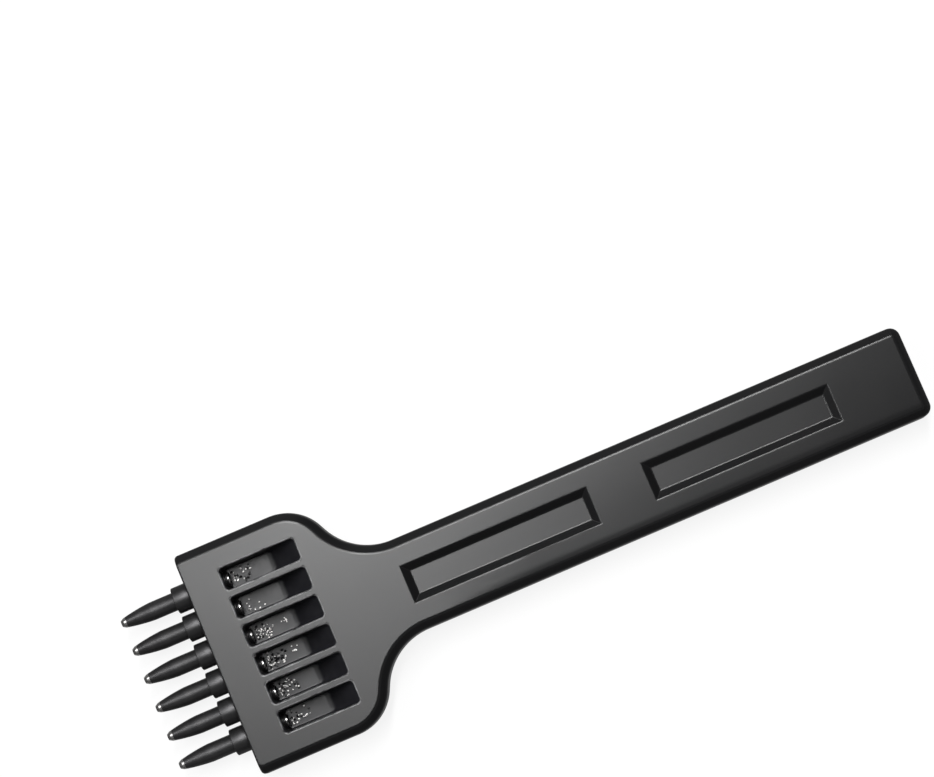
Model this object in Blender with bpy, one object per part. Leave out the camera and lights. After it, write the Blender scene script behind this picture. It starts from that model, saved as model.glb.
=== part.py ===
"""Pricking iron: one steel head and handle, with a row of hollow punch tips screwed into it.

The iron lies flat on its back. Metres, +Z up. +X runs from the cutting ends to the struck end of
the handle, +Y lies across the iron, and the origin is the centre of the base of its bounding box.
"""

import math

import bmesh
import bpy
from mathutils import Vector

# Row of tips
TIP_COUNT = 6
TIP_PITCH = 0.005

# Body: a flat head that narrows into a bar
THICKNESS = 0.008
BODY_LENGTH = 0.1234
HEAD_WIDTH = 0.0385
HANDLE_WIDTH = 0.0158
SHOULDER_START = 0.0168
SHOULDER_ANGLE = math.radians(64)
SHOULDER_OUTER_RADIUS = 0.008
SHOULDER_INNER_RADIUS = 0.0105
FRONT_CORNER_RADIUS = 0.00065
END_CORNER_RADIUS = 0.0018

# Edges of the body: drafted sides, then a broad slope that is rounded where it meets its neighbours
SIDE_DRAFT = 0.00015
SLOPE_WIDTH = 0.0013
SLOPE_HEIGHT = 0.0011
SLOPE_LOWER_RADIUS = 0.0009
SLOPE_UPPER_RADIUS = 0.00085
FRONT_RIM_RADIUS = 0.00035

# Windows that the waste leaves by, each a blind pocket with a ramp at its far end
WINDOW_START = 0.0061
WINDOW_LENGTH = 0.0132
WINDOW_WIDTH = 0.00385
WINDOW_CORNER_RADIUS = 0.00065
WINDOW_DEPTH = 0.0056
WINDOW_DRAFT = math.radians(2)
RAMP_ANGLE = math.radians(45)
RAMP_TOP_DEPTH = 0.0008
RAMP_BLEND_RADIUS = 0.0012

# Sunk panels, two along the handle on each broad face
PANEL_LENGTH = 0.0329
PANEL_WIDTH = 0.0063
PANEL_DEPTH = 0.001
PANEL_WALL_RUN = 0.00115
PANEL_FIRST_CENTRE = 0.05005
PANEL_PITCH = 0.0426

# Punch tips, measured outwards from the front face
COLLAR_FRONT = 0.00275
COLLAR_RADIUS = 0.002235
COLLAR_CHAMFER = 0.00015
COLLAR_GAP = 0.0003
TUBE_LENGTH = 0.00955
TUBE_RADIUS = 0.00153
OGIVE_LENGTH = 0.0055
OGIVE_START_SLOPE = 0.063
OGIVE_RADIUS = 0.0318
BEVEL_LENGTH = 0.0005
CUTTING_BORE_RADIUS = 0.0005
CUTTING_LAND = 0.00002
CUTTING_BORE_LENGTH = 0.002
RELIEF_TAPER_LENGTH = 0.0013
RELIEF_BORE_RADIUS = 0.00085

# Shanks and the holes they screw into
SHANK_RADIUS = 0.00145
SHANK_LENGTH = 0.0069
SHANK_CHAMFER = 0.0003
HOLE_CLEARANCE = 0.00005
HOLE_OVERRUN = 0.0004

# Fineness of the curves
SHOULDER_STEPS = 10
CORNER_STEPS = 3
SLOPE_STEPS = 2
RAMP_STEPS = 3
OGIVE_STEPS = 6
TURNING_STEPS = 24
CUTTER_MARGIN = 0.001
AXIS_MERGE = 0.000001

TIP_PROTRUSION = COLLAR_FRONT + TUBE_LENGTH
FRONT_X = TIP_PROTRUSION - (TIP_PROTRUSION + BODY_LENGTH) / 2
AXIS_Z = THICKNESS / 2
EDGE_INSET = SIDE_DRAFT + SLOPE_WIDTH

BLACK_PAINT = ("black_paint", (0.028, 0.028, 0.03), 0.42, 0.0)
BLACK_OXIDE = ("black_oxide_steel", (0.035, 0.035, 0.038), 0.38, 0.7)


def clear_scene():
    for old in list(bpy.data.objects):
        bpy.data.objects.remove(old, do_unlink=True)


def make_material(name, colour, roughness, metallic):
    material = bpy.data.materials.new(name)
    material.use_nodes = True
    shader = material.node_tree.nodes["Principled BSDF"]
    shader.inputs["Base Color"].default_value = (*colour, 1.0)
    shader.inputs["Roughness"].default_value = roughness
    shader.inputs["Metallic"].default_value = metallic
    material.diffuse_color = (*colour, 1.0)
    return material


def add_object(name, mesh, location=(0.0, 0.0, 0.0)):
    made = bpy.data.objects.new(name, mesh)
    made.location = location
    bpy.context.scene.collection.objects.link(made)
    return made


def round_corners(corners):
    """Turn (x, y, radius, steps) corners of an open path into points, with an arc at each radius."""
    points = []
    for index, (x, y, radius, steps) in enumerate(corners):
        corner = Vector((x, y))
        if radius == 0.0:
            points.append(corner)
            continue
        before = (Vector(corners[index - 1][:2]) - corner).normalized()
        after = (Vector(corners[index + 1][:2]) - corner).normalized()
        half_angle = before.angle(after) / 2
        centre = corner + (before + after).normalized() * radius / math.sin(half_angle)
        start = corner + before * radius / math.tan(half_angle) - centre
        sweep = math.pi - 2 * half_angle
        turn = 1.0 if before.x * after.y - before.y * after.x < 0 else -1.0
        for step in range(steps + 1):
            angle = turn * sweep * step / steps
            c, s = math.cos(angle), math.sin(angle)
            arm = Vector((start.x * c - start.y * s, start.x * s + start.y * c))
            points.append(centre + arm)
    return points


def stack_loops(bm, loops):
    """Close a stack of loops, each a list of points, bottom first, with a cap at both ends."""
    rings = [[bm.verts.new(point) for point in loop] for loop in loops]
    count = len(rings[0])
    for lower, upper in zip(rings, rings[1:]):
        for i in range(count):
            j = (i + 1) % count
            bm.faces.new((lower[i], lower[j], upper[j], upper[i]))
    bm.faces.new(reversed(rings[0]))
    bm.faces.new(rings[-1])


def finish_mesh(bm, name, sharp_angle=math.radians(25)):
    bmesh.ops.recalc_face_normals(bm, faces=bm.faces)
    mesh = bpy.data.meshes.new(name)
    bm.to_mesh(mesh)
    bm.free()
    mesh.shade_smooth()
    mesh.set_sharp_from_angle(angle=sharp_angle)
    return mesh


def body_outline(inset, front_inset, end_inset):
    """Points around the body in plan, drawn in by a set-back at the sides, front and end."""
    front = FRONT_X + front_inset
    end = FRONT_X + BODY_LENGTH - end_inset
    head = HEAD_WIDTH / 2 - inset
    handle = HANDLE_WIDTH / 2 - inset
    outer_radius = SHOULDER_OUTER_RADIUS - inset
    inner_radius = SHOULDER_INNER_RADIUS + inset
    flank_start = FRONT_X + SHOULDER_START
    flank_start += (SHOULDER_OUTER_RADIUS - inset) * math.tan(SHOULDER_ANGLE / 2)
    flank_end = flank_start + (head - handle) / math.tan(SHOULDER_ANGLE)
    half = round_corners([
        (front, 0.0, 0.0, 0),
        (front, head, FRONT_CORNER_RADIUS, CORNER_STEPS),
        (flank_start, head, outer_radius, SHOULDER_STEPS),
        (flank_end, handle, inner_radius, SHOULDER_STEPS),
        (end, handle, END_CORNER_RADIUS - inset, CORNER_STEPS),
        (end, 0.0, 0.0, 0),
    ])[1:-1]
    other_half = [Vector((point.x, -point.y)) for point in half]
    return half[::-1] + other_half


def edge_profile():
    """(depth below the broad face, inset) along the edge, from mid-thickness up to the face."""
    path = round_corners([
        (THICKNESS / 2, 0.0, 0.0, 0),
        (SLOPE_HEIGHT, SIDE_DRAFT, SLOPE_LOWER_RADIUS, SLOPE_STEPS),
        (0.0, EDGE_INSET, SLOPE_UPPER_RADIUS, SLOPE_STEPS),
        (0.0, HANDLE_WIDTH / 2, 0.0, 0),
    ])
    return path[:-1]


def front_rim(depth):
    """Set-back of the rounded front rim at a depth below the broad face."""
    rise = max(0.0, FRONT_RIM_RADIUS - depth)
    return FRONT_RIM_RADIUS - math.sqrt(FRONT_RIM_RADIUS ** 2 - rise ** 2)


def body_mesh():
    levels = []
    for depth, inset in edge_profile():
        end_inset = max(0.0, inset - SIDE_DRAFT)
        levels.append((depth, body_outline(inset, front_rim(depth), end_inset)))
    lower = [[(p.x, p.y, depth) for p in outline] for depth, outline in reversed(levels)]
    upper = [[(p.x, p.y, THICKNESS - depth) for p in outline] for depth, outline in levels]
    bm = bmesh.new()
    stack_loops(bm, lower + upper[1:])
    return finish_mesh(bm, "handle_body")


def tip_positions():
    first = -TIP_PITCH * (TIP_COUNT - 1) / 2
    return [first + TIP_PITCH * index for index in range(TIP_COUNT)]


def ramp_profile():
    """(depth, distance from the window's start) down the far end of a window, lip to floor."""
    foot = WINDOW_LENGTH - (WINDOW_DEPTH - RAMP_TOP_DEPTH) / math.tan(RAMP_ANGLE)
    path = round_corners([
        (RAMP_TOP_DEPTH, WINDOW_LENGTH, 0.0, 0),
        (WINDOW_DEPTH, foot, RAMP_BLEND_RADIUS, RAMP_STEPS),
        (WINDOW_DEPTH, 0.0, 0.0, 0),
    ])
    return path[:-1]


def window_loop(y, depth, length):
    """Rounded rectangle that a window has at a depth, narrowed by the draft of its walls."""
    draft = max(depth, 0.0) * math.tan(WINDOW_DRAFT)
    start = FRONT_X + WINDOW_START + draft
    end = FRONT_X + WINDOW_START + length
    half = WINDOW_WIDTH / 2 - draft
    middle = (start + end) / 2
    corners = [(start, -half), (end, -half), (end, half), (start, half)]
    path = [(middle, -half, 0.0, 0)]
    for x, side in corners[1:] + corners[:1]:
        path.append((x, side, WINDOW_CORNER_RADIUS, CORNER_STEPS))
    path.append((middle, -half, 0.0, 0))
    return [(p.x, y + p.y, THICKNESS - depth) for p in round_corners(path)[1:-1]]


def window_cutter(bm, y):
    levels = [(-CUTTER_MARGIN, WINDOW_LENGTH), (0.0, WINDOW_LENGTH), *ramp_profile()]
    stack_loops(bm, [window_loop(y, depth, length) for depth, length in reversed(levels)])


def panel_cutter(bm, centre_x, face_z, outwards):
    """Frustum that sinks a panel into the broad face at face_z."""
    slope = PANEL_WALL_RUN / PANEL_DEPTH
    loops = []
    for height in (-PANEL_DEPTH, CUTTER_MARGIN):
        half_x = PANEL_LENGTH / 2 + height * slope
        half_y = PANEL_WIDTH / 2 + height * slope
        signs = ((-1, -1), (1, -1), (1, 1), (-1, 1))
        z = face_z + outwards * height
        loops.append([(centre_x + sx * half_x, sy * half_y, z) for sx, sy in signs])
    stack_loops(bm, loops)


def turn_profile(bm, profile, closed):
    """Turn (x, radius) points about the X axis; a closed profile goes round a bore."""
    verts = [bm.verts.new((x, 0.0, radius)) for x, radius in profile]
    edges = [bm.edges.new(pair) for pair in zip(verts, verts[1:])]
    if closed:
        edges.append(bm.edges.new((verts[-1], verts[0])))
    bmesh.ops.spin(
        bm, geom=verts + edges, cent=(0.0, 0.0, 0.0), axis=(1.0, 0.0, 0.0),
        angle=math.tau, steps=TURNING_STEPS, use_merge=True, use_duplicate=False,
    )
    bmesh.ops.remove_doubles(bm, verts=bm.verts, dist=AXIS_MERGE)


def hole_cutter(bm, y):
    """Cylinder for one shank hole, from outside the front face into the window."""
    radius = SHANK_RADIUS + HOLE_CLEARANCE
    depth = SHANK_LENGTH + HOLE_OVERRUN
    hole = bmesh.new()
    turn_profile(hole, [(-CUTTER_MARGIN, 0.0), (-CUTTER_MARGIN, radius), (depth, radius), (depth, 0.0)],
                 closed=False)
    bmesh.ops.translate(hole, verts=hole.verts, vec=(FRONT_X, y, AXIS_Z))
    copies = {vert: bm.verts.new(vert.co) for vert in hole.verts}
    for face in hole.faces:
        bm.faces.new([copies[vert] for vert in face.verts])
    hole.free()


def tip_profile():
    """(x, radius) points round the wall of a tip; x = 0 is the front face, and -x points outwards."""
    collar_front = -COLLAR_FRONT
    tube_end = -TIP_PROTRUSION
    ogive_start = tube_end + OGIVE_LENGTH
    outer = [(tube_end, CUTTING_BORE_RADIUS + CUTTING_LAND)]
    for step in range(OGIVE_STEPS, -1, -1):
        run = (OGIVE_LENGTH - BEVEL_LENGTH) * step / OGIVE_STEPS
        drop = run * OGIVE_START_SLOPE + run ** 2 / (2 * OGIVE_RADIUS)
        outer.append((ogive_start - run, TUBE_RADIUS - drop))
    outer += [
        (collar_front, TUBE_RADIUS),
        (collar_front, COLLAR_RADIUS - COLLAR_CHAMFER),
        (collar_front + COLLAR_CHAMFER, COLLAR_RADIUS),
        (-COLLAR_GAP, COLLAR_RADIUS),
        (-COLLAR_GAP, SHANK_RADIUS),
        (SHANK_LENGTH - SHANK_CHAMFER, SHANK_RADIUS),
        (SHANK_LENGTH, SHANK_RADIUS - SHANK_CHAMFER),
    ]
    cutting_bore_end = tube_end + CUTTING_BORE_LENGTH
    inner = [
        (SHANK_LENGTH, RELIEF_BORE_RADIUS),
        (cutting_bore_end + RELIEF_TAPER_LENGTH, RELIEF_BORE_RADIUS),
        (cutting_bore_end, CUTTING_BORE_RADIUS),
        (tube_end, CUTTING_BORE_RADIUS),
    ]
    return outer + inner


def tip_mesh():
    bm = bmesh.new()
    turn_profile(bm, tip_profile(), closed=True)
    return finish_mesh(bm, "punch_tip")


def add_cutter(name, target, bm):
    """Cut the closed shapes in bm out of target, and keep them as a wire guide."""
    bmesh.ops.recalc_face_normals(bm, faces=bm.faces)
    mesh = bpy.data.meshes.new(name)
    bm.to_mesh(mesh)
    bm.free()
    cutter = add_object(name, mesh)
    cutter.hide_render = True
    cutter.display_type = "WIRE"
    cut = target.modifiers.new(name, "BOOLEAN")
    cut.operation = "DIFFERENCE"
    cut.object = cutter


def build_body(material):
    body = add_object("handle_body", body_mesh())
    body.data.materials.append(material)

    windows = bmesh.new()
    for y in tip_positions():
        window_cutter(windows, y)
    add_cutter("window_cutters", body, windows)

    panels = bmesh.new()
    for index in range(2):
        centre_x = FRONT_X + PANEL_FIRST_CENTRE + PANEL_PITCH * index
        panel_cutter(panels, centre_x, THICKNESS, 1)
        panel_cutter(panels, centre_x, 0.0, -1)
    add_cutter("panel_cutters", body, panels)

    holes = bmesh.new()
    for y in tip_positions():
        hole_cutter(holes, y)
    add_cutter("hole_cutters", body, holes)


def build_tips(material):
    mesh = tip_mesh()
    mesh.materials.append(material)
    for index, y in enumerate(tip_positions()):
        add_object(f"punch_tip_{index + 1}", mesh, (FRONT_X, y, AXIS_Z))


def main():
    clear_scene()
    build_body(make_material(*BLACK_PAINT))
    build_tips(make_material(*BLACK_OXIDE))


main()
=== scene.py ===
"""Looks of the pricking iron: satin black paint on the handle body, black oxide on the turned tips.

Metres, +Z up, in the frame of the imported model: +X runs from the cutting ends to the struck end.
"""

import math
import random

import bmesh
import bpy
from mathutils import Matrix, Vector


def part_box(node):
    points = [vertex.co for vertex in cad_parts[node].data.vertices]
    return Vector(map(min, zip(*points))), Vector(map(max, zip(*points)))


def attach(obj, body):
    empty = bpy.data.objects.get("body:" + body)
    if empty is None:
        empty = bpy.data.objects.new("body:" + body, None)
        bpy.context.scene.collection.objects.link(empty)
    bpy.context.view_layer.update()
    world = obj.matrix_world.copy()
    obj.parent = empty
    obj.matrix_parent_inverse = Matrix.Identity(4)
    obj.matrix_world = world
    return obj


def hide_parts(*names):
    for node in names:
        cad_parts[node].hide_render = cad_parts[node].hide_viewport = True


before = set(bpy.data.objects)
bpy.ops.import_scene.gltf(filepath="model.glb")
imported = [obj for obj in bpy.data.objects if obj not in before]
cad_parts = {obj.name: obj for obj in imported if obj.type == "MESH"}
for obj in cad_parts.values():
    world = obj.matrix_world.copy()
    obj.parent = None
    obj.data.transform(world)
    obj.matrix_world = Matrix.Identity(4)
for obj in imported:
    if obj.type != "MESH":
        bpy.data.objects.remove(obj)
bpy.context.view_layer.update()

MM = 0.001

# Read from the frame
BODY_LOW, BODY_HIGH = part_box("handle_body")
TIP_NODES = sorted(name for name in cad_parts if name.startswith("punch_tip_"))
TIP_LOW, TIP_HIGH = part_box(TIP_NODES[0])
FRONT_X = BODY_LOW.x
THICKNESS = BODY_HIGH.z - BODY_LOW.z
HEAD_WIDTH = BODY_HIGH.y - BODY_LOW.y
BODY_LENGTH = BODY_HIGH.x - BODY_LOW.x
TIP_PROTRUSION = FRONT_X - TIP_LOW.x
SHANK_LENGTH = TIP_HIGH.x - FRONT_X
COLLAR_RADIUS = (TIP_HIGH.z - TIP_LOW.z) / 2
AXIS_Z = (TIP_HIGH.z + TIP_LOW.z) / 2

# Body: a flat head that narrows into a bar
HANDLE_WIDTH = 15.8 * MM
SHOULDER_START = 16.8 * MM
SHOULDER_ANGLE = math.radians(64)
SHOULDER_OUTER_RADIUS = 8.0 * MM
SHOULDER_INNER_RADIUS = 10.5 * MM
FRONT_CORNER_RADIUS = 0.65 * MM
END_CORNER_RADIUS = 1.8 * MM
LEAST_CORNER_RADIUS = 0.05 * MM
SIDE_DRAFT = 0.15 * MM
SLOPE_WIDTH = 1.3 * MM
SLOPE_HEIGHT = 1.1 * MM
SLOPE_LOWER_RADIUS = 0.9 * MM
SLOPE_UPPER_RADIUS = 0.85 * MM
FRONT_RIM_RADIUS = 0.35 * MM
CROWN_DROP = 0.19 * MM
CROWN_START = 39.0 * MM
CROWN_FULL = 56.0 * MM
SOFT_EDGE_DROP = 0.04 * MM
SOFT_EDGE_WIDTH = 0.8 * MM

# Windows behind the tips
WINDOW_START = 6.1 * MM
WINDOW_LENGTH = 13.2 * MM
WINDOW_WIDTH = 3.85 * MM
WINDOW_CORNER_RADIUS = 0.65 * MM
WINDOW_DEPTH = 5.6 * MM
WINDOW_DRAFT = math.radians(2)
WINDOW_LIP_RADIUS = 0.24 * MM
WINDOW_FLOOR_RADIUS = 0.25 * MM
RAMP_ANGLE = math.radians(45)
RAMP_TOP_DEPTH = 0.8 * MM
RAMP_BLEND_RADIUS = 1.8 * MM
RAMP_RUN = (WINDOW_DEPTH - RAMP_TOP_DEPTH) / math.tan(RAMP_ANGLE)
FLAT_FLOOR_END = WINDOW_START + WINDOW_LENGTH - RAMP_RUN - RAMP_BLEND_RADIUS * math.tan(RAMP_ANGLE / 2)

# Sunk panels, two along each broad face
PANEL_LENGTH = 32.9 * MM
PANEL_WIDTH = 6.45 * MM
PANEL_DEPTH = 1.0 * MM
PANEL_WALL_RUN = 1.2 * MM
PANEL_LIP_RADIUS = 0.38 * MM
PANEL_FLOOR_RADIUS = 0.4 * MM
PANEL_CORNER_RADIUS = 0.1 * MM
PANEL_FIRST_CENTRE = 50.05 * MM
PANEL_PITCH = 42.6 * MM
PANELS_PER_FACE = 2

# Punch tips, measured outwards from the front face
COLLAR_FRONT = 2.75 * MM
COLLAR_EDGE_RADIUS = 0.14 * MM
COLLAR_SEAT_GAP = 0.01 * MM
COLLAR_BACK_RADIUS = 0.06 * MM
NECK_ROOT_RADIUS = 0.1 * MM
NECK_MARGIN = 0.1 * MM
TUBE_RADIUS = 1.53 * MM
TUBE_ROOT_RADIUS = 0.12 * MM
OGIVE_LENGTH = 5.5 * MM
OGIVE_START_SLOPE = 0.063
OGIVE_RADIUS = 31.8 * MM
BEVEL_LENGTH = 0.5 * MM
BEVEL_CORNER_RADIUS = 0.35 * MM
CUTTING_BORE_RADIUS = 0.5 * MM
CUTTING_LAND = 0.02 * MM
CUTTING_BORE_LENGTH = 2.0 * MM
RELIEF_TAPER_LENGTH = 1.3 * MM
RELIEF_BORE_RADIUS = 0.85 * MM

# Screw threads
THREAD_PITCH = 0.5 * MM
THREAD_CREST_RADIUS = 1.45 * MM
THREAD_ROOT_RADIUS = 1.15 * MM
THREAD_CLEARANCE = 0.05 * MM
THREAD_PHASES = (0.0, 0.0625, 0.2355, 0.4085, 0.5, 0.5915, 0.7645, 0.9375)
THREAD_CREST_PHASE = 0.0625
THREAD_ROOT_PHASE = 0.4085
THREAD_START = 0.9 * MM
THREAD_FADE = 0.5 * MM
THREAD_OFFSET = 0.183 * MM
POINT_LENGTH = 0.3 * MM
POINT_BRIGHT_LENGTH = 0.22 * MM
HOLE_OVERRUN = 0.4 * MM
COUNTERSINK_RADIUS = 1.62 * MM

# Chips and pinholes on the floors of the windows. For each window from the -Y side: how many there are
# near the tip, and whether a cluster lies at mid-floor. Sideways places and radii are in millimetres,
# and heights are shares of the radius, negative for a pinhole.
FLOOR_SPECKS = ((26, False), (52, False), (60, True), (46, True), (10, False), (30, False))
SPECK_SEED = 11
SPECK_FIRST_X = 7.3 * MM
SPECK_LAST_X = 10.6 * MM
SPECK_CROWDING = 1.4
SPECK_SIDEWAYS = (-1.55, 1.45, -0.5)
SPECK_RADII = (0.08, 0.19)
SPECK_HEIGHTS = (0.25, 0.4, 0.3, -0.8, -0.8)
SPECK_REACH = 2.0
SPECK_FALLOFF = 2.0
CLUSTER_COUNT = 6
CLUSTER_X = 12.85 * MM
CLUSTER_LENGTH = 0.55
CLUSTER_SIDEWAYS = (0.2, 0.4)
CLUSTER_RADII = (0.07, 0.17)
CLUSTER_HEIGHT = 0.2

# Where the window rims get a painted highlight, and where the paint is dry. A rim gets the full painted
# highlight where it bends by this many radians a metre.
FULL_HIGHLIGHT_BEND = 4000.0
LEAST_FACE_SPACING = 0.02 * MM
RIM_TILT = 0.992
FLOOR_TILT = 0.2
FLOOR_RELIEF_LIMIT = 0.2 * MM
DRY_PAINT_MARGIN = 0.5 * MM
DRY_PAINT_BELOW = 0.3 * MM

# Room and camera. ROOM_LIGHT is the room's brightness at each elevation in degrees: a soft band of
# light around a dark ceiling. A softbox has a name, place, long axis, size in metres and power.
ROOM_LIGHT = ((-20, 0.28), (-4, 0.18), (3, 0.04), (16, 0.04), (30, 0.26), (46, 0.26), (60, 0.05))
SOFTBOXES = (
    ("key_softbox", (0.056, 0.403, 0.913), (0.47, 0.79, -0.38), (0.1, 0.9), 10.1),
    ("far_side_fill", (0.0, 1.2, 0.09), (1.0, 0.0, 0.0), (0.16, 1.6), 0.28),
    ("tip_fill", (-0.5, 0.36, 0.8), (0.0, 1.0, 0.0), (0.3, 0.3), 1.7),
    ("front_fill", (-0.62, 0.12, 0.72), (0.0, 1.0, 0.0), (0.4, 0.4), 0.9),
)
FLOOR_SIZE = 4.0
CAMERA_PLACE = (-0.00275, -0.0099, 0.40100)
CAMERA_TURN = (4.876, 1.730, -23.014)
CAMERA_LENS = 93.16

# Fineness of the curves
SHOULDER_STEPS = 40
CORNER_STEPS = 8
SLOPE_STEPS = 6
RIM_STEPS = 5
RAMP_STEPS = 8
OGIVE_STEPS = 24
TURNING_STEPS = 80
PANEL_CORNER_STEPS = 3
FLOOR_STEP = 0.09 * MM
FLOOR_ROWS_START = 1.05 * MM
COLUMNS = 38
HANDLE_STATIONS = 26
SMOOTH_ANGLE = math.radians(32)
MERGE_ANGLE = math.radians(0.05)
LEVEL_NORMAL = 0.999999
PLACE_TOLERANCE = 0.01 * MM
CUTTER_MARGIN = 1.0 * MM
LIP_FLARE = 1.0 * MM


# ---------------------------------------------------------------- outlines and turned shapes

def round_corners(corners):
    """Turn (x, y, radius, steps) corners of an open path into points, with an arc at each radius."""
    points = []
    for index, (x, y, radius, steps) in enumerate(corners):
        corner = Vector((x, y))
        if radius == 0.0:
            points.append(corner)
            continue
        before = (Vector(corners[index - 1][:2]) - corner).normalized()
        after = (Vector(corners[index + 1][:2]) - corner).normalized()
        half_angle = before.angle(after) / 2
        centre = corner + (before + after).normalized() * radius / math.sin(half_angle)
        start = corner + before * radius / math.tan(half_angle) - centre
        sweep = math.pi - 2 * half_angle
        turn = 1.0 if before.x * after.y - before.y * after.x < 0 else -1.0
        for step in range(steps + 1):
            angle = turn * sweep * step / steps
            c, s = math.cos(angle), math.sin(angle)
            arm = Vector((start.x * c - start.y * s, start.x * s + start.y * c))
            points.append(centre + arm)
    return points


def bridge_rings(bm, lower, upper):
    count = len(lower)
    for i in range(count):
        j = (i + 1) % count
        bm.faces.new((lower[i], lower[j], upper[j], upper[i]))


def stack_loops(bm, loops):
    """Close a stack of loops, each a list of points, bottom first, with a cap at both ends."""
    rings = [[bm.verts.new(point) for point in loop] for loop in loops]
    for lower, upper in zip(rings, rings[1:]):
        bridge_rings(bm, lower, upper)
    bm.faces.new(reversed(rings[0]))
    bm.faces.new(rings[-1])


def across(row, y, z):
    """Evenly spaced points along one (x, half width) row, from its -Y end."""
    x, width = row
    return [Vector((x, y + width * (2.0 * step / COLUMNS - 1.0), z)) for step in range(COLUMNS + 1)]


def ring_around(rows, y, z):
    """Points around a shape given by its (x, half width) rows, with extra ones along both ends."""
    ring = across(rows[0], y, z)
    ring += [Vector((x, y + width, z)) for x, width in rows[1:-1]]
    ring += across(rows[-1], y, z)[::-1]
    ring += [Vector((x, y - width, z)) for x, width in rows[-2:0:-1]]
    return ring


def fill_ring(bm, ring, rows, y):
    """Fill such a ring with a grid, and give back the grid's inner points."""
    last = len(rows) - 1
    grid = [ring[:COLUMNS + 1]]
    inside = []
    for i in range(1, last):
        right = ring[COLUMNS + i]
        left = ring[-i]
        inner = [bm.verts.new(point) for point in across(rows[i], y, right.co.z)[1:-1]]
        inside += inner
        grid.append([left, *inner, right])
    far = ring[COLUMNS + last:2 * COLUMNS + last + 1]
    grid.append(far[::-1])
    for near, next_row in zip(grid, grid[1:]):
        for j in range(COLUMNS):
            bm.faces.new((near[j], near[j + 1], next_row[j + 1], next_row[j]))
    return inside


def mesh_from(bm, name):
    bmesh.ops.recalc_face_normals(bm, faces=bm.faces)
    mesh = bpy.data.meshes.new(name)
    bm.to_mesh(mesh)
    bm.free()
    return mesh


def add_object(name, mesh, location=(0.0, 0.0, 0.0)):
    made = bpy.data.objects.new(name, mesh)
    made.location = location
    bpy.context.scene.collection.objects.link(made)
    return made


def smooth_faces(piece, sharp_angle):
    """Smooth shading that keeps broad flat faces flat and true corners sharp."""
    piece.data.shade_smooth()
    piece.data.set_sharp_from_angle(angle=sharp_angle)
    weighted = piece.modifiers.new("face_weighted_normals", "WEIGHTED_NORMAL")
    weighted.keep_sharp = True
    weighted.weight = 100


def thread_surface(bm, radius_at, start, end):
    """Fill an empty bm with a right-hand helical surface about X, trimmed flat at start and end."""
    per_turn = len(THREAD_PHASES)
    first = math.floor(start / THREAD_PITCH) - 2
    turns = math.ceil((end - start) / THREAD_PITCH) + 5
    rows = []
    for k in range(turns * per_turn):
        phase = k // per_turn + THREAD_PHASES[k % per_turn]
        row = []
        for j in range(TURNING_STEPS):
            x = (first + phase + j / TURNING_STEPS) * THREAD_PITCH + THREAD_OFFSET
            angle = math.tau * j / TURNING_STEPS
            radius = radius_at(x, phase % 1.0)
            row.append(bm.verts.new((x, radius * math.sin(angle), radius * math.cos(angle))))
        rows.append(row)
    for k in range(len(rows) - 1):
        for j in range(TURNING_STEPS - 1):
            bm.faces.new((rows[k][j], rows[k + 1][j], rows[k + 1][j + 1], rows[k][j + 1]))
    last = TURNING_STEPS - 1
    for k in range(len(rows) - 1 - per_turn):
        ahead = k + per_turn
        bm.faces.new((rows[k][last], rows[k + 1][last], rows[ahead + 1][0], rows[ahead][0]))
    for plane_x, side in ((start, -1.0), (end, 1.0)):
        bmesh.ops.bisect_plane(
            bm, geom=bm.verts[:] + bm.edges[:] + bm.faces[:], dist=1e-8,
            plane_co=(plane_x, 0.0, 0.0), plane_no=(side, 0.0, 0.0), clear_outer=True,
        )


def open_rim(bm, x):
    """Edges of the open rim that lies at x."""
    return [e for e in bm.edges if e.is_boundary and all(abs(v.co.x - x) < PLACE_TOLERANCE for v in e.verts)]


def thread_profile(phase):
    """Depth of the thread at a phase of its pitch, 0 at the crest and 1 at the root."""
    from_crest = min(phase, 1.0 - phase)
    share = (from_crest - THREAD_CREST_PHASE) / (THREAD_ROOT_PHASE - THREAD_CREST_PHASE)
    return min(max(share, 0.0), 1.0)


def shank_radius(x, phase):
    """Radius of the outer thread: it fades in after the neck, and ends in a short plain point."""
    depth = THREAD_CREST_RADIUS - THREAD_ROOT_RADIUS
    fade = min(max((x - THREAD_START) / THREAD_FADE, 0.0), 1.0)
    radius = THREAD_ROOT_RADIUS + depth * fade * (1.0 - thread_profile(phase))
    chamfered = THREAD_CREST_RADIUS - max(0.0, x - (SHANK_LENGTH - POINT_LENGTH - depth))
    return max(min(radius, chamfered), THREAD_ROOT_RADIUS)


def hole_radius(x, phase):
    """Radius of the threaded hole, with a countersink at its mouth."""
    depth = THREAD_CREST_RADIUS - THREAD_ROOT_RADIUS
    radius = THREAD_CREST_RADIUS + THREAD_CLEARANCE - depth * thread_profile(phase)
    return max(radius, COUNTERSINK_RADIUS - x)


# ---------------------------------------------------------------- handle body

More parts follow.
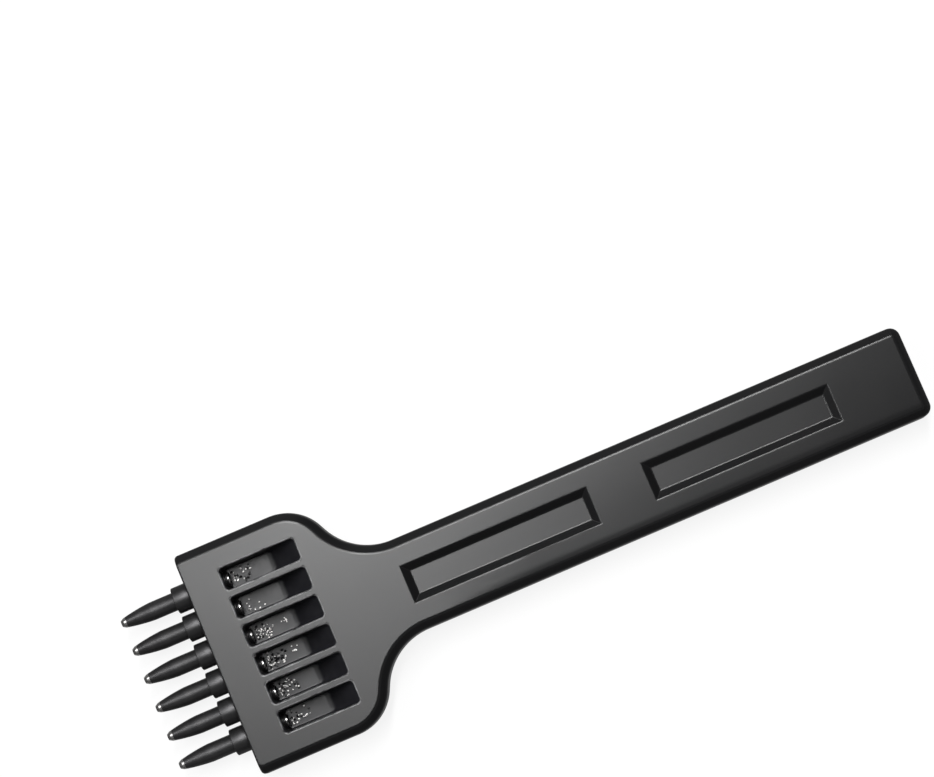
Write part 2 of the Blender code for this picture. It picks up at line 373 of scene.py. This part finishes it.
def body_rows(inset, front_inset, end_inset):
    """(x, half width) along the body in plan, drawn in by a set-back at the sides, front and end."""
    front = FRONT_X + front_inset
    end = FRONT_X + BODY_LENGTH - end_inset
    head = HEAD_WIDTH / 2 - inset
    handle = HANDLE_WIDTH / 2 - inset
    outer_radius = SHOULDER_OUTER_RADIUS - inset
    inner_radius = SHOULDER_INNER_RADIUS + inset
    end_radius = max(END_CORNER_RADIUS - inset, LEAST_CORNER_RADIUS)
    flank_start = FRONT_X + SHOULDER_START + outer_radius * math.tan(SHOULDER_ANGLE / 2)
    flank_end = flank_start + (head - handle) / math.tan(SHOULDER_ANGLE)
    inner_end = flank_end + inner_radius * math.tan(SHOULDER_ANGLE / 2)
    step = (FRONT_X + BODY_LENGTH - END_CORNER_RADIUS - inner_end) / (HANDLE_STATIONS + 1)
    stations = [(inner_end + step * (index + 1), handle, 0.0, 0) for index in range(HANDLE_STATIONS)]
    return round_corners([
        (front, 0.0, 0.0, 0),
        (front, head, FRONT_CORNER_RADIUS, CORNER_STEPS),
        (flank_start, head, outer_radius, SHOULDER_STEPS),
        (flank_end, handle, inner_radius, SHOULDER_STEPS),
        *stations,
        (end, handle, end_radius, CORNER_STEPS),
        (end, 0.0, 0.0, 0),
    ])[1:-1]


def edge_profile():
    """(depth below the broad face, inset) along the edge, from mid-thickness up to the face."""
    path = round_corners([
        (THICKNESS / 2, 0.0, 0.0, 0),
        (SLOPE_HEIGHT, SIDE_DRAFT, SLOPE_LOWER_RADIUS, SLOPE_STEPS),
        (0.0, SIDE_DRAFT + SLOPE_WIDTH, SLOPE_UPPER_RADIUS, SLOPE_STEPS),
        (0.0, HANDLE_WIDTH / 2, 0.0, 0),
    ])
    return path[:-1]


FLAT_HALF_WIDTH = HANDLE_WIDTH / 2 - edge_profile()[-1][1]


def front_rim(depth):
    """Set-back of the rounded front rim at a depth below the broad face."""
    rise = max(0.0, FRONT_RIM_RADIUS - depth)
    return FRONT_RIM_RADIUS - math.sqrt(FRONT_RIM_RADIUS ** 2 - rise ** 2)


def face_drop(x, y):
    """How far the handle's broad faces lie below flat: they fall away a little to a softer -Y edge."""
    half = FLAT_HALF_WIDTH
    share = min(max((x - FRONT_X - CROWN_START) / (CROWN_FULL - CROWN_START), 0.0), 1.0)
    across_face = min(max((half - y) / (2 * half), 0.0), 1.0)
    near_edge = max(0.0, 1.0 - (1.0 - across_face) * 2 * half / SOFT_EDGE_WIDTH)
    return share * (CROWN_DROP * across_face ** 2 + SOFT_EDGE_DROP * near_edge ** 2)


def body_mesh():
    """The body before it is cut."""
    levels = []
    for depth, inset in edge_profile():
        rows = body_rows(inset, front_rim(depth), max(0.0, inset - SIDE_DRAFT))
        levels.append((depth, rows))
    stack = levels[::-1] + [(THICKNESS - depth, rows) for depth, rows in levels[1:]]
    bm = bmesh.new()
    rings = [[bm.verts.new(point) for point in ring_around(rows, 0.0, z)] for z, rows in stack]
    for lower, upper in zip(rings, rings[1:]):
        bridge_rings(bm, lower, upper)
    fill_ring(bm, rings[0], stack[0][1], 0.0)
    fill_ring(bm, rings[-1], stack[-1][1], 0.0)
    for vert in bm.verts:
        from_middle = vert.co.z - THICKNESS / 2
        if abs(from_middle) > THICKNESS / 4:
            vert.co.z -= math.copysign(face_drop(vert.co.x, vert.co.y), from_middle)
    return mesh_from(bm, "handle_body_blank")


def tip_axes():
    """Y of each tip's axis, in the order of TIP_NODES."""
    axes = []
    for name in TIP_NODES:
        low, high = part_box(name)
        axes.append((low.y + high.y) / 2)
    return axes


def make_specks():
    """(x, y, radius, height) of the chips, which stand up, and the pinholes, which go down."""
    draw = random.Random(SPECK_SEED)
    specks = []
    for axis_y, (count, has_cluster) in zip(tip_axes(), FLOOR_SPECKS):
        for _ in range(count):
            along = draw.random() ** SPECK_CROWDING
            x = FRONT_X + SPECK_FIRST_X + along * (SPECK_LAST_X - SPECK_FIRST_X)
            y = axis_y + draw.triangular(*SPECK_SIDEWAYS) * MM
            radius = draw.uniform(*SPECK_RADII) * MM
            specks.append((x, y, radius, radius * draw.choice(SPECK_HEIGHTS)))
        if has_cluster:
            for _ in range(CLUSTER_COUNT):
                x = FRONT_X + CLUSTER_X - abs(draw.gauss(0.0, CLUSTER_LENGTH)) * MM
                y = axis_y + draw.gauss(*CLUSTER_SIDEWAYS) * MM
                radius = draw.uniform(*CLUSTER_RADII) * MM
                specks.append((x, y, radius, radius * CLUSTER_HEIGHT))
    return specks


SPECKS = make_specks()


def floor_relief(x, y):
    """(height of the window floor's relief, how bare the metal is there, how strong the painted shade in a
    pinhole is) at a point.
    """
    height = 0.0
    bare = 0.0
    pit_shade = 0.0
    for speck_x, speck_y, radius, peak in SPECKS:
        spread = ((x - speck_x) ** 2 + (y - speck_y) ** 2) / radius ** 2
        if spread < SPECK_REACH ** 2:
            height += peak * math.exp(-SPECK_FALLOFF * spread)
            if peak > 0.0:
                bare = max(bare, 1.0 - spread)
            else:
                pit_shade = max(pit_shade, 1.0 - spread)
    return height, bare, pit_shade


def window_levels():
    """(depth, length, inward offset) down a window, from its flared lip to the edge of its floor."""
    wall = round_corners([
        (0.0, LIP_FLARE, 0.0, 0),
        (0.0, 0.0, WINDOW_LIP_RADIUS, RIM_STEPS),
        (WINDOW_DEPTH, -WINDOW_DEPTH * math.tan(WINDOW_DRAFT), WINDOW_FLOOR_RADIUS, RIM_STEPS),
        (WINDOW_DEPTH, -WINDOW_WIDTH / 2, 0.0, 0),
    ])[1:-1]
    ramp = round_corners([
        (RAMP_TOP_DEPTH, WINDOW_LENGTH, 0.0, 0),
        (WINDOW_DEPTH, WINDOW_LENGTH - RAMP_RUN, RAMP_BLEND_RADIUS, RAMP_STEPS),
        (WINDOW_DEPTH, 0.0, 0.0, 0),
    ])[:-1]
    depths = sorted({p.x for p in wall} | {p.x for p in ramp})
    levels = []
    for depth in depths:
        levels.append((depth, value_at(ramp, depth, WINDOW_LENGTH), value_at(wall, depth, 0.0)))
    return levels


def value_at(path, key, before):
    """Second coordinate of a path at a first coordinate, by straight lines between its points."""
    if key < path[0].x:
        return before
    for first, second in zip(path, path[1:]):
        if first.x <= key <= second.x and second.x > first.x:
            share = (key - first.x) / (second.x - first.x)
            return first.y + share * (second.y - first.y)
    return path[-1].y


def window_rows(start, end, half):
    """(x, half width) of each row across a window, from its front wall to its far end."""
    radius = WINDOW_CORNER_RADIUS
    arc = []
    for step in range(CORNER_STEPS + 1):
        angle = math.pi / 2 * step / CORNER_STEPS
        arc.append((radius * (1.0 - math.cos(angle)), half - radius * (1.0 - math.sin(angle))))
    rows = [(start + run, width) for run, width in arc]
    first = FRONT_X + WINDOW_START + FLOOR_ROWS_START
    count = int((FRONT_X + FLAT_FLOOR_END - WINDOW_CORNER_RADIUS - first) / FLOOR_STEP)
    rows += [(first + FLOOR_STEP * index, half) for index in range(count)]
    rows += [(end - run, width) for run, width in reversed(arc)]
    return rows


def window_cutter(bm, y):
    """Closed shape of one window: a floor with its relief, walls, a ramp and a flared lip."""
    rings = []
    levels = window_levels()
    levels.insert(0, (-CUTTER_MARGIN, *levels[0][1:]))
    for depth, length, offset in reversed(levels):
        start = FRONT_X + WINDOW_START - offset
        end = FRONT_X + WINDOW_START + length + max(offset, 0.0)
        rows = window_rows(start, end, WINDOW_WIDTH / 2 + offset)
        ring = ring_around(rows, y, THICKNESS - depth)
        rings.append([bm.verts.new(point) for point in ring])
        if depth == levels[-1][0]:
            floor_rows = rows
    for lower, upper in zip(rings, rings[1:]):
        bridge_rings(bm, lower, upper)
    bm.faces.new(rings[-1])
    for vert in fill_ring(bm, rings[0], floor_rows, y):
        vert.co.z += floor_relief(vert.co.x, vert.co.y)[0]


def panel_cutter(bm, centre_x, face_z, outwards):
    """Shape that sinks a panel into the broad face at face_z, with a rounded lip and floor edge."""
    wall = round_corners([
        (LIP_FLARE, 0.0, 0.0, 0),
        (0.0, 0.0, PANEL_LIP_RADIUS, RIM_STEPS),
        (-PANEL_WALL_RUN, -PANEL_DEPTH, PANEL_FLOOR_RADIUS, RIM_STEPS),
        (-PANEL_WIDTH / 2, -PANEL_DEPTH, 0.0, 0),
    ])[1:-1]
    wall.insert(0, Vector((wall[0].x, CUTTER_MARGIN)))
    loops = []
    for offset, height in reversed(wall):
        half_x = PANEL_LENGTH / 2 + offset
        half_y = PANEL_WIDTH / 2 + offset
        path = [(0.0, -half_y, 0.0, 0)]
        for sx, sy in ((1, -1), (1, 1), (-1, 1), (-1, -1)):
            path.append((sx * half_x, sy * half_y, PANEL_CORNER_RADIUS, PANEL_CORNER_STEPS))
        path.append((0.0, -half_y, 0.0, 0))
        share = min(1.0, 1.0 + height / PANEL_DEPTH)
        loop = []
        for p in round_corners(path)[1:-1]:
            below = share * face_drop(centre_x + p.x, p.y)
            loop.append((centre_x + p.x, p.y, face_z + outwards * (height - below)))
        loops.append(loop)
    stack_loops(bm, loops)


def hole_cutter(bm, y):
    """Screw-shaped cutter for one tapped hole, from outside the front face into the window."""
    hole = bmesh.new()
    thread_surface(hole, hole_radius, -HOLE_OVERRUN, SHANK_LENGTH + HOLE_OVERRUN)
    bmesh.ops.edgeloop_fill(hole, edges=open_rim(hole, -HOLE_OVERRUN))
    bmesh.ops.edgeloop_fill(hole, edges=open_rim(hole, SHANK_LENGTH + HOLE_OVERRUN))
    bmesh.ops.translate(hole, verts=hole.verts, vec=(FRONT_X, y, AXIS_Z))
    copies = {vert: bm.verts.new(vert.co) for vert in hole.verts}
    for face in hole.faces:
        bm.faces.new([copies[vert] for vert in face.verts])
    hole.free()


def cut(target, name, bm):
    """Cut the closed shapes in bm out of target for good."""
    cutter = add_object(name, mesh_from(bm, name))
    boolean = target.modifiers.new(name, "BOOLEAN")
    boolean.operation = "DIFFERENCE"
    boolean.object = cutter
    bpy.context.view_layer.update()
    graph = bpy.context.evaluated_depsgraph_get()
    result = bpy.data.meshes.new_from_object(target.evaluated_get(graph))
    target.modifiers.clear()
    target.data = result
    bpy.data.objects.remove(cutter, do_unlink=True)


def merge_flat_faces(mesh):
    """Join the flat parts of the broad faces, so that the rims around them shade evenly."""
    bm = bmesh.new()
    bm.from_mesh(mesh)
    flat = set()
    for face in bm.faces:
        below = abs(abs(face.calc_center_median().z - THICKNESS / 2) - THICKNESS / 2)
        if abs(face.normal.z) > LEVEL_NORMAL and below < PLACE_TOLERANCE:
            flat.add(face)
    edges = [e for e in bm.edges if len(e.link_faces) == 2 and all(f in flat for f in e.link_faces)]
    verts = list(dict.fromkeys(vert for edge in edges for vert in edge.verts))
    bmesh.ops.dissolve_limit(bm, angle_limit=MERGE_ANGLE, verts=verts, edges=edges)
    bm.to_mesh(mesh)
    bm.free()


def mark_faces(mesh):
    """Face attributes for the paint: painted highlights on the window rims, bare chips, pinholes with
    painted shade, and sheltered walls.
    """
    bm = bmesh.new()
    bm.from_mesh(mesh)
    painted_rim_highlight = []
    bare = []
    pit = []
    sheltered = []
    floor_z = THICKNESS - WINDOW_DEPTH
    outer_y = tip_axes()[-1] + WINDOW_WIDTH
    for face in bm.faces:
        centre = face.calc_center_median()
        curvature = 0.0
        for edge in face.edges:
            if len(edge.link_faces) == 2:
                other = next(f for f in edge.link_faces if f is not face)
                apart = (other.calc_center_median() - centre).length
                curvature = max(curvature, edge.calc_face_angle_signed(0.0) / max(apart, LEAST_FACE_SPACING))
        along = centre.x - FRONT_X
        is_lip = THICKNESS - centre.z < WINDOW_LIP_RADIUS * 1.2 and abs(face.normal.z) < RIM_TILT
        from_middle = abs(along - WINDOW_START - WINDOW_LENGTH / 2)
        by_window = from_middle < WINDOW_LENGTH / 2 + WINDOW_LIP_RADIUS * 2 and abs(centre.y) < outer_y
        # Painted highlight on the window rims, strongest where they bend most.
        painted_rim_highlight.append(min(1.0, curvature / FULL_HIGHLIGHT_BEND) if is_lip and by_window else 0.0)
        on_floor = abs(centre.z - floor_z) < FLOOR_RELIEF_LIMIT and face.normal.z > FLOOR_TILT
        relief = floor_relief(centre.x, centre.y) if on_floor else (0.0, 0.0, 0.0)
        bare.append(relief[1])
        pit.append(relief[2])
        in_window = WINDOW_START < along < WINDOW_START + WINDOW_LENGTH + DRY_PAINT_MARGIN
        deep = in_window and floor_z - DRY_PAINT_BELOW < centre.z < THICKNESS - DRY_PAINT_MARGIN
        sheltered.append(1.0 if deep and abs(centre.y) < HEAD_WIDTH / 2 - SLOPE_WIDTH * 2 else 0.0)
    bm.free()
    marks = {"painted_rim_highlight": painted_rim_highlight, "bare_metal": bare, "pit": pit, "sheltered": sheltered}
    for name, values in marks.items():
        attribute = mesh.attributes.new(name, "FLOAT", "FACE")
        attribute.data.foreach_set("value", values)


def build_body(material):
    body = add_object("painted_handle_body", body_mesh())

    windows = bmesh.new()
    for y in tip_axes():
        window_cutter(windows, y)
    cut(body, "window_cutters", windows)

    panels = bmesh.new()
    for index in range(PANELS_PER_FACE):
        centre_x = FRONT_X + PANEL_FIRST_CENTRE + PANEL_PITCH * index
        panel_cutter(panels, centre_x, THICKNESS, 1)
        panel_cutter(panels, centre_x, 0.0, -1)
    cut(body, "panel_cutters", panels)

    holes = bmesh.new()
    for y in tip_axes():
        hole_cutter(holes, y)
    cut(body, "hole_cutters", holes)

    merge_flat_faces(body.data)
    mark_faces(body.data)
    body.data.materials.clear()
    body.data.materials.append(material)
    smooth_faces(body, SMOOTH_ANGLE)
    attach(body, "handle")
    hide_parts("handle_body")


# ---------------------------------------------------------------- punch tips

def tip_profile():
    """(x, radius) round a tip's wall: from the neck, over the outside, and back through the bore."""
    tube_end = -TIP_PROTRUSION
    ogive_start = tube_end + OGIVE_LENGTH
    path = round_corners([
        (THREAD_START - NECK_MARGIN, THREAD_ROOT_RADIUS, 0.0, 0),
        (-COLLAR_SEAT_GAP, THREAD_ROOT_RADIUS, NECK_ROOT_RADIUS, 4),
        (-COLLAR_SEAT_GAP, COLLAR_RADIUS, COLLAR_BACK_RADIUS, 3),
        (-COLLAR_FRONT, COLLAR_RADIUS, COLLAR_EDGE_RADIUS, 5),
        (-COLLAR_FRONT, TUBE_RADIUS, TUBE_ROOT_RADIUS, 5),
        (ogive_start, TUBE_RADIUS, 0.0, 0),
    ])
    profile = [(point.x, point.y) for point in path]
    ogive = []
    for step in range(1, OGIVE_STEPS + 1):
        run = (OGIVE_LENGTH - BEVEL_LENGTH) * step / OGIVE_STEPS
        drop = run * OGIVE_START_SLOPE + run ** 2 / (2 * OGIVE_RADIUS)
        ogive.append((ogive_start - run, TUBE_RADIUS - drop))
    profile += ogive[:-2]
    cutting_bore_end = tube_end + CUTTING_BORE_LENGTH
    bevel = round_corners([
        (*ogive[-3], 0.0, 0),
        (*ogive[-1], BEVEL_CORNER_RADIUS, 6),
        (tube_end, CUTTING_BORE_RADIUS + CUTTING_LAND, 0.0, 0),
    ])
    profile += [(point.x, point.y) for point in bevel[1:]]
    profile += [
        (tube_end, CUTTING_BORE_RADIUS),
        (cutting_bore_end, CUTTING_BORE_RADIUS),
        (cutting_bore_end + RELIEF_TAPER_LENGTH, RELIEF_BORE_RADIUS),
        (SHANK_LENGTH, RELIEF_BORE_RADIUS),
    ]
    return profile


def tip_mesh():
    """One tip: a turned outside and bore, joined to a threaded shank."""
    bm = bmesh.new()
    thread_surface(bm, shank_radius, THREAD_START, SHANK_LENGTH)
    rings = []
    for x, radius in tip_profile():
        ring = []
        for step in range(TURNING_STEPS):
            angle = math.tau * step / TURNING_STEPS
            ring.append(bm.verts.new((x, radius * math.sin(angle), radius * math.cos(angle))))
        rings.append(ring)
    for lower, upper in zip(rings, rings[1:]):
        bridge_rings(bm, lower, upper)
    neck = open_rim(bm, THREAD_START - NECK_MARGIN) + open_rim(bm, THREAD_START)
    bmesh.ops.bridge_loops(bm, edges=neck)
    bmesh.ops.bridge_loops(bm, edges=open_rim(bm, SHANK_LENGTH))
    bmesh.ops.recalc_face_normals(bm, faces=bm.faces)
    bevel_start = -TIP_PROTRUSION + BEVEL_LENGTH + BEVEL_CORNER_RADIUS
    for face in bm.faces:
        centre = face.calc_center_median()
        ground = centre.x < bevel_start and face.normal.x < -0.1
        from_axis = math.hypot(centre.y, centre.z)
        point = centre.x > SHANK_LENGTH - POINT_BRIGHT_LENGTH and from_axis > THREAD_ROOT_RADIUS * 0.99
        face.material_index = 1 if ground or point else 0
    return mesh_from(bm, "turned_tip")


def build_tips(oxide, ground):
    mesh = tip_mesh()
    mesh.materials.append(oxide)
    mesh.materials.append(ground)
    for index, (node, y) in enumerate(zip(TIP_NODES, tip_axes())):
        tip = add_object(f"turned_punch_tip_{index + 1}", mesh.copy(), (FRONT_X, y, AXIS_Z))
        smooth_faces(tip, SMOOTH_ANGLE)
        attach(tip, f"tip_{index + 1}")
        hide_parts(node)


# ---------------------------------------------------------------- materials

class Nodes:
    """Short calls for the node tree of one material."""

    def __init__(self, name):
        self.material = bpy.data.materials.new(name)
        self.material.use_nodes = True
        self.tree = self.material.node_tree
        self.shader = self.tree.nodes["Principled BSDF"]
        self.coordinates = self.add("ShaderNodeTexCoord").outputs["Object"]

    def add(self, kind, **settings):
        node = self.tree.nodes.new(kind)
        for key, value in settings.items():
            setattr(node, key, value)
        return node

    def link(self, output, socket):
        self.tree.links.new(output, socket)

    def noise(self, scale, detail=2.0, roughness=0.5, stretch=None):
        node = self.add("ShaderNodeTexNoise")
        node.inputs["Scale"].default_value = scale
        node.inputs["Detail"].default_value = detail
        node.inputs["Roughness"].default_value = roughness
        source = self.coordinates
        if stretch:
            mapping = self.add("ShaderNodeMapping")
            mapping.inputs["Scale"].default_value = stretch
            self.link(source, mapping.inputs["Vector"])
            source = mapping.outputs["Vector"]
        self.link(source, node.inputs["Vector"])
        return node.outputs["Fac"]

    def remap(self, value, low, high, to_low, to_high):
        node = self.add("ShaderNodeMapRange")
        for key, number in (("From Min", low), ("From Max", high), ("To Min", to_low), ("To Max", to_high)):
            node.inputs[key].default_value = number
        self.link(value, node.inputs["Value"])
        return node.outputs["Result"]

    def math(self, operation, first, second):
        node = self.add("ShaderNodeMath", operation=operation)
        for socket, value in zip(node.inputs, (first, second)):
            if isinstance(value, float):
                socket.default_value = value
            else:
                self.link(value, socket)
        return node.outputs["Value"]

    def mix_colour(self, factor, first, second):
        node = self.add("ShaderNodeMix", data_type="RGBA")
        self.link(factor, node.inputs["Factor"])
        for key, value in (("A", first), ("B", second)):
            socket = [s for s in node.inputs if s.name == key and s.type == "RGBA"][0]
            if isinstance(value, tuple):
                socket.default_value = (*value, 1.0)
            else:
                self.link(value, socket)
        return [s for s in node.outputs if s.type == "RGBA"][0]

    def mix_value(self, factor, first, second):
        node = self.add("ShaderNodeMix", data_type="FLOAT")
        self.link(factor, node.inputs["Factor"])
        for socket, value in zip(node.inputs[2:4], (first, second)):
            if isinstance(value, float):
                socket.default_value = value
            else:
                self.link(value, socket)
        return node.outputs["Result"]

    def attribute(self, name):
        return self.add("ShaderNodeAttribute", attribute_name=name).outputs["Fac"]

    def bump(self, height, distance, strength=1.0, normal=None):
        node = self.add("ShaderNodeBump")
        node.inputs["Distance"].default_value = distance
        node.inputs["Strength"].default_value = strength
        self.link(height, node.inputs["Height"])
        if normal:
            self.link(normal, node.inputs["Normal"])
        return node.outputs["Normal"]

    def set(self, socket, value):
        if isinstance(value, (int, float)):
            self.shader.inputs[socket].default_value = value
        else:
            self.link(value, self.shader.inputs[socket])


def black_paint():
    """Satin black paint: a slight orange peel, dry overspray in the windows, a light grey painted highlight
    along the window rims, painted shade in the pinholes, and chips.
    """
    n = Nodes("satin_black_paint")
    broad = n.noise(70.0, 3.0)
    peel = n.noise(1400.0, 2.0)
    grain = n.noise(9000.0, 2.0)
    rim_highlight_breakup = n.noise(700.0, 4.0, 0.6)
    overspray = n.noise(430.0, 5.0, 0.75)
    bare = n.remap(n.attribute("bare_metal"), 0.1, 0.4, 0.0, 1.0)
    sheltered = n.attribute("sheltered")
    # Mask of the painted highlight on the window rims, broken up by noise.
    rim_highlight = n.math("MULTIPLY", n.attribute("painted_rim_highlight"), n.remap(rim_highlight_breakup, 0.3, 0.6, 0.1, 1.0))
    paint = n.mix_colour(broad, (0.004, 0.004, 0.0045), (0.006, 0.006, 0.0065))
    dry = n.mix_colour(overspray, (0.004, 0.004, 0.006), (0.02, 0.02, 0.023))
    paint = n.mix_colour(sheltered, paint, dry)
    # Light grey painted highlight along the window rims.
    paint = n.mix_colour(rim_highlight, paint, (0.22, 0.22, 0.225))
    # Pinholes are painted near black: painted shade in the holes. They are also made rough.
    pit = n.remap(n.attribute("pit"), 0.1, 0.5, 0.0, 1.0)
    paint = n.mix_colour(pit, paint, (0.001, 0.001, 0.001))
    n.set("Base Color", n.mix_colour(bare, paint, (0.55, 0.54, 0.53)))
    n.set("Metallic", bare)
    sheen = n.remap(broad, 0.3, 0.7, 0.30, 0.315)
    sheen = n.mix_value(sheltered, sheen, n.remap(overspray, 0.3, 0.7, 0.34, 0.44))
    sheen = n.mix_value(rim_highlight, sheen, 0.25)
    sheen = n.mix_value(pit, sheen, 0.9)
    n.set("Roughness", n.mix_value(bare, sheen, 0.4))
    normal = n.bump(peel, 0.004 * MM, 0.5)
    n.set("Normal", n.bump(grain, 0.002 * MM, 0.5, normal))
    return n.material


def black_oxide():
    """Black oxide on turned steel: fine rings from the lathe and a slightly mottled colour."""
    n = Nodes("black_oxide_on_turned_steel")
    blotch = n.noise(420.0, 3.0)
    rings = n.noise(900.0, 3.0, 0.6, stretch=(14.0, 0.6, 0.6))
    grain = n.noise(7000.0, 2.0)
    n.set("Base Color", n.mix_colour(blotch, (0.04, 0.04, 0.042), (0.075, 0.074, 0.075)))
    n.set("Metallic", 0.85)
    n.set("Roughness", n.remap(n.math("ADD", blotch, rings), 0.6, 1.4, 0.36, 0.44))
    normal = n.bump(rings, 0.006 * MM, 0.6)
    n.set("Normal", n.bump(grain, 0.002 * MM, 0.5, normal))
    return n.material


def ground_steel():
    """Bare ground steel at the cutting bevel and the cut end of the shank."""
    n = Nodes("ground_steel")
    scratches = n.noise(2500.0, 3.0, 0.6, stretch=(6.0, 1.0, 1.0))
    tint = n.noise(600.0, 2.0)
    n.set("Base Color", n.mix_colour(tint, (0.42, 0.415, 0.41), (0.6, 0.59, 0.58)))
    n.set("Metallic", 1.0)
    n.set("Roughness", n.remap(scratches, 0.3, 0.7, 0.2, 0.36))
    n.set("Normal", n.bump(scratches, 0.004 * MM, 0.5))
    return n.material


def floor_material():
    """White acrylic table, lit evenly from below."""
    n = Nodes("pale_floor")
    cloud = n.noise(6.0, 2.0)
    n.set("Base Color", n.mix_colour(cloud, (0.13, 0.13, 0.13), (0.145, 0.145, 0.145)))
    n.set("Roughness", 0.9)
    n.set("Specular IOR Level", 0.0)
    n.set("Emission Strength", 0.87)
    n.shader.inputs["Emission Color"].default_value = (1.0, 1.0, 1.0, 1.0)
    return n.material


# ---------------------------------------------------------------- stage

def build_stage():
    bm = bmesh.new()
    bmesh.ops.create_grid(bm, x_segments=1, y_segments=1, size=FLOOR_SIZE / 2)
    floor = add_object("floor", mesh_from(bm, "floor"), (0.0, 0.0, BODY_LOW.z))
    floor.data.materials.append(floor_material())
    floor.visible_glossy = False


def add_softbox(name, place, long_axis, size, power):
    """Rectangular light at place that faces the origin, with its long side along long_axis."""
    light = bpy.data.lights.new(name, "AREA")
    light.shape = "RECTANGLE"
    light.size, light.size_y = size
    light.energy = power
    softbox = bpy.data.objects.new(name, light)
    back = Vector(place).normalized()
    side = Vector(long_axis).cross(back).normalized()
    turn = Matrix((side, back.cross(side), back)).transposed().to_4x4()
    softbox.matrix_world = Matrix.Translation(place) @ turn
    bpy.context.scene.collection.objects.link(softbox)


def build_room():
    """World light that depends only on the elevation it comes from."""
    world = bpy.data.worlds.new("soft_room")
    world.use_nodes = True
    background = world.node_tree.nodes["Background"]
    nodes, links = world.node_tree.nodes, world.node_tree.links
    direction = nodes.new("ShaderNodeTexCoord").outputs["Generated"]
    parts = nodes.new("ShaderNodeSeparateXYZ")
    links.new(direction, parts.inputs["Vector"])
    height = nodes.new("ShaderNodeMapRange")
    height.inputs["From Min"].default_value = -1.0
    links.new(parts.outputs["Z"], height.inputs["Value"])
    ramp = nodes.new("ShaderNodeValToRGB")
    while len(ramp.color_ramp.elements) < len(ROOM_LIGHT):
        ramp.color_ramp.elements.new(0.5)
    for element, (elevation, strength) in zip(ramp.color_ramp.elements, ROOM_LIGHT):
        element.position = (math.sin(math.radians(elevation)) + 1.0) / 2.0
        element.color = (strength, strength, strength, 1.0)
    links.new(height.outputs["Result"], ramp.inputs["Fac"])
    links.new(ramp.outputs["Color"], background.inputs["Color"])
    background.inputs["Strength"].default_value = 1.0
    bpy.context.scene.world = world


def build_lights():
    for softbox in SOFTBOXES:
        add_softbox(*softbox)


def build_camera():
    lens = bpy.data.cameras.new("camera")
    lens.lens = CAMERA_LENS
    lens.sensor_width = 36.0
    lens.clip_start = 0.01
    lens.clip_end = 20.0
    camera = bpy.data.objects.new("camera", lens)
    camera.location = CAMERA_PLACE
    camera.rotation_euler = [math.radians(angle) for angle in CAMERA_TURN]
    bpy.context.scene.collection.objects.link(camera)
    bpy.context.scene.camera = camera


bpy.context.scene.view_settings.view_transform = "Standard"
build_camera()
build_room()
build_lights()
build_stage()
build_body(black_paint())
build_tips(black_oxide(), ground_steel())
